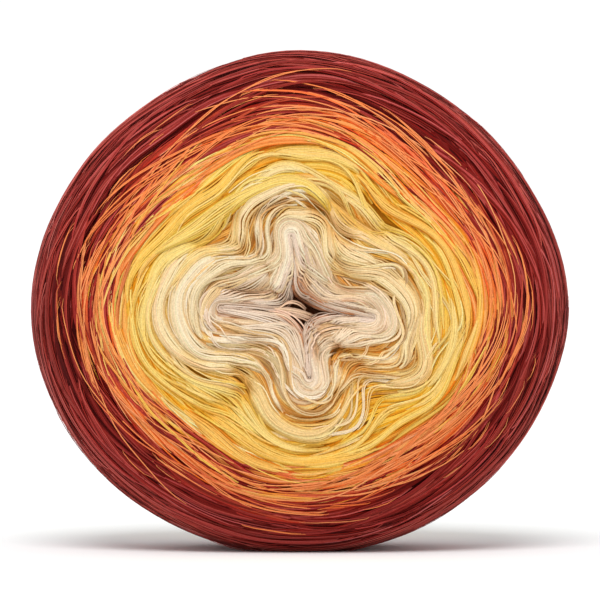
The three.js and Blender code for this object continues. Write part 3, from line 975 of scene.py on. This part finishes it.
def body_mesh(surface, material):
    """The closed body under the threads, a little inside them and darker with painted shade, as seen
    in the gaps.
    """
    grid_rows = len(surface.across)
    back_core = grid_rows - BODY_GRID["back_core"]
    rows = np.unique(np.concatenate([
        np.arange(0, back_core, BODY_GRID["rows"]),
        np.arange(back_core, grid_rows, BODY_GRID["back_core_rows"]), [grid_rows - 1],
    ]))
    columns = np.arange(0, SECTORS * COLUMNS, BODY_GRID["columns"])
    points = surface.points[rows][:, columns] - BODY_INSET * surface.normals[rows][:, columns]
    points[..., 2] = np.maximum(points[..., 2], 0)
    count, ring = len(rows), len(columns)
    across = surface.across[rows]
    front = np.minimum(across, 2 * surface.equator - across)
    level = np.interp(front, surface.level_across, surface.levels)
    # Painted shade: the body is a deepened, darker copy of the fade, less dark in the core.
    core = smoothstep((CORE["edge"] - level) / BODY_BRIGHTNESS_IN_SHADE["blend"])
    share = BODY_BRIGHTNESS_IN_SHADE["outside"] + BODY_BRIGHTNESS_IN_SHADE["core_more"] * core
    tone = share[:, None] * deepened(fade_colour(level), BODY_SHADE)
    vertices = np.concatenate([points.reshape(-1, 3), [points[0].mean(0), points[-1].mean(0)]])
    tones = np.concatenate([np.repeat(tone, ring, 0), tone[:1], tone[-1:]])
    heights = [MAP_EDGE + (1 - 2 * MAP_EDGE) * r / (count - 1) for r in range(count)]
    faces, uvs = [], []
    for r in range(count - 1):
        v0, v1 = heights[r], heights[r + 1]
        for c in range(ring):
            d = (c + 1) % ring
            faces.append((r * ring + c, r * ring + d, (r + 1) * ring + d, (r + 1) * ring + c))
            u0, u1 = c / ring, (c + 1) / ring
            uvs.extend([(u0, v0), (u1, v0), (u1, v1), (u0, v1)])
    last = (count - 1) * ring
    for c in range(ring):
        d = (c + 1) % ring
        u0, u1 = c / ring, (c + 1) / ring
        faces.append((count * ring, d, c))
        uvs.extend([((u0 + u1) / 2, 0.0), (u1, MAP_EDGE), (u0, MAP_EDGE)])
        faces.append((count * ring + 1, last + c, last + d))
        uvs.extend([((u0 + u1) / 2, 1.0), (u0, 1 - MAP_EDGE), (u1, 1 - MAP_EDGE)])
    mesh = bpy.data.meshes.new("cake_body")
    mesh.from_pydata((vertices * MM).tolist(), [], faces)
    around = np.outer(surface.turn_length[rows], np.arange(ring) * SECTORS / ring).ravel()
    add_looks(mesh, tones, {
        "along": np.append(around, [0, 0]),
        "owner": np.append(np.repeat(across / PITCH, ring), [0, 0]),
    })
    finish_mesh(mesh, uvs, material)
    return placed("cake_body", mesh)


# Light, floor and camera


def sun(name, place, spread, strength):
    """Soft light from the direction of place, seen from the cake, spread in degrees."""
    light = bpy.data.lights.new(name, "SUN")
    light.angle, light.energy = spread * DEGREE, strength
    placed(name, light).rotation_euler = Vector(place).to_track_quat("Z", "Y").to_euler()


def studio():
    """A white room: pale floor, even light all round and a soft key from above the camera."""
    scene = bpy.context.scene
    scene.view_settings.view_transform = "Standard"
    world = bpy.data.worlds.new("studio")
    scene.world = world
    world.use_nodes = True
    nodes, links = world.node_tree.nodes, world.node_tree.links
    around, behind = nodes["Background"], nodes.new("ShaderNodeBackground")
    set_inputs(around, {"Color": WHITE, "Strength": ROOM_LIGHT})
    set_inputs(behind, {"Color": WHITE, "Strength": BACKGROUND_LIGHT})
    rays, pick = nodes.new("ShaderNodeLightPath"), nodes.new("ShaderNodeMixShader")
    links.new(rays.outputs["Is Camera Ray"], pick.inputs["Fac"])
    links.new(around.outputs["Background"], pick.inputs[1])
    links.new(behind.outputs["Background"], pick.inputs[2])
    links.new(pick.outputs["Shader"], nodes["World Output"].inputs["Surface"])
    sun("key", KEY_PLACE, KEY_SPREAD, KEY_LIGHT)
    floor_mesh = bpy.data.meshes.new("floor")
    far = FLOOR_REACH
    corners = [(-far, -far, 0), (far, -far, 0), (far, far, 0), (-far, far, 0)]
    floor_mesh.from_pydata(corners, [], [(0, 1, 2, 3)])
    paper = bpy.data.materials.new("paper")
    paper.use_nodes = True
    set_inputs(paper.node_tree.nodes["Principled BSDF"], FLOOR)
    floor_mesh.materials.append(paper)
    floor = placed("floor", floor_mesh)


def camera():
    data = bpy.data.cameras.new("camera")
    data.sensor_width = SENSOR_WIDTH
    data.lens = SENSOR_WIDTH * CAMERA_AWAY / FRAME_WIDTH
    obj = placed("camera", data)
    rise = CAMERA_RISE * DEGREE
    target = np.array([0.0, 0.0, AXIS_HEIGHT * MM])
    obj.location = target + CAMERA_AWAY * np.array([0, -math.cos(rise), math.sin(rise)])
    obj.rotation_euler = (math.pi / 2 - rise, 0, 0)
    bpy.context.scene.camera = obj


def main():
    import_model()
    rng = np.random.default_rng(SEED)
    surface = Surface()
    deep_field = wave_field(rng, FIELD_SIZES["deep"])
    field = wave_field(rng, FIELD_SIZES["usual"])
    loose_field = wave_field(rng, FIELD_SIZES["loose"])

    core, upper = Threads("core_turns"), Threads("core_upper_turns")
    pit_wall(core, surface, rng)
    turns_around(core, surface, rng, deep_field, UNDER)
    turns_around(core, surface, rng, field, LIPS)
    turns_around(core, surface, rng, field, LOCKS)
    turns_around(upper, surface, rng, loose_field, LOOSE)
    bundle_over_pit(upper, rng)

    face = Threads("face_turns")
    for family in (DARK_UNDER, DARK, MIXED, DARK_BETWEEN):
        turns_around(face, surface, rng, field, family)
    for family in (BROAD_ARCS, DARK_ARCS, FINE_ARCS, STRAY_ARCS):
        arcs_outwards(face, surface, rng, family)

    outer = [Threads("outer_turns_a"), Threads("outer_turns_b")]
    criss_cross(outer, surface, rng, CRISS_CROSS)

    back = Threads("back_turns")
    for family in (UNDER, LOCKS, MIXED, DARK):
        turns_around(back, surface, rng, field, family, back=True)
    arcs_outwards(back, surface, rng, BACK_ARCS, back=True)

    material = yarn_material("yarn_threads")
    body = body_mesh(surface, material)
    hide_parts("yarn_cake")
    for piece in [body] + [threads.mesh(material) for threads in (core, upper, face, *outer, back)]:
        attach(piece, "root")
    camera()
    studio()


main()
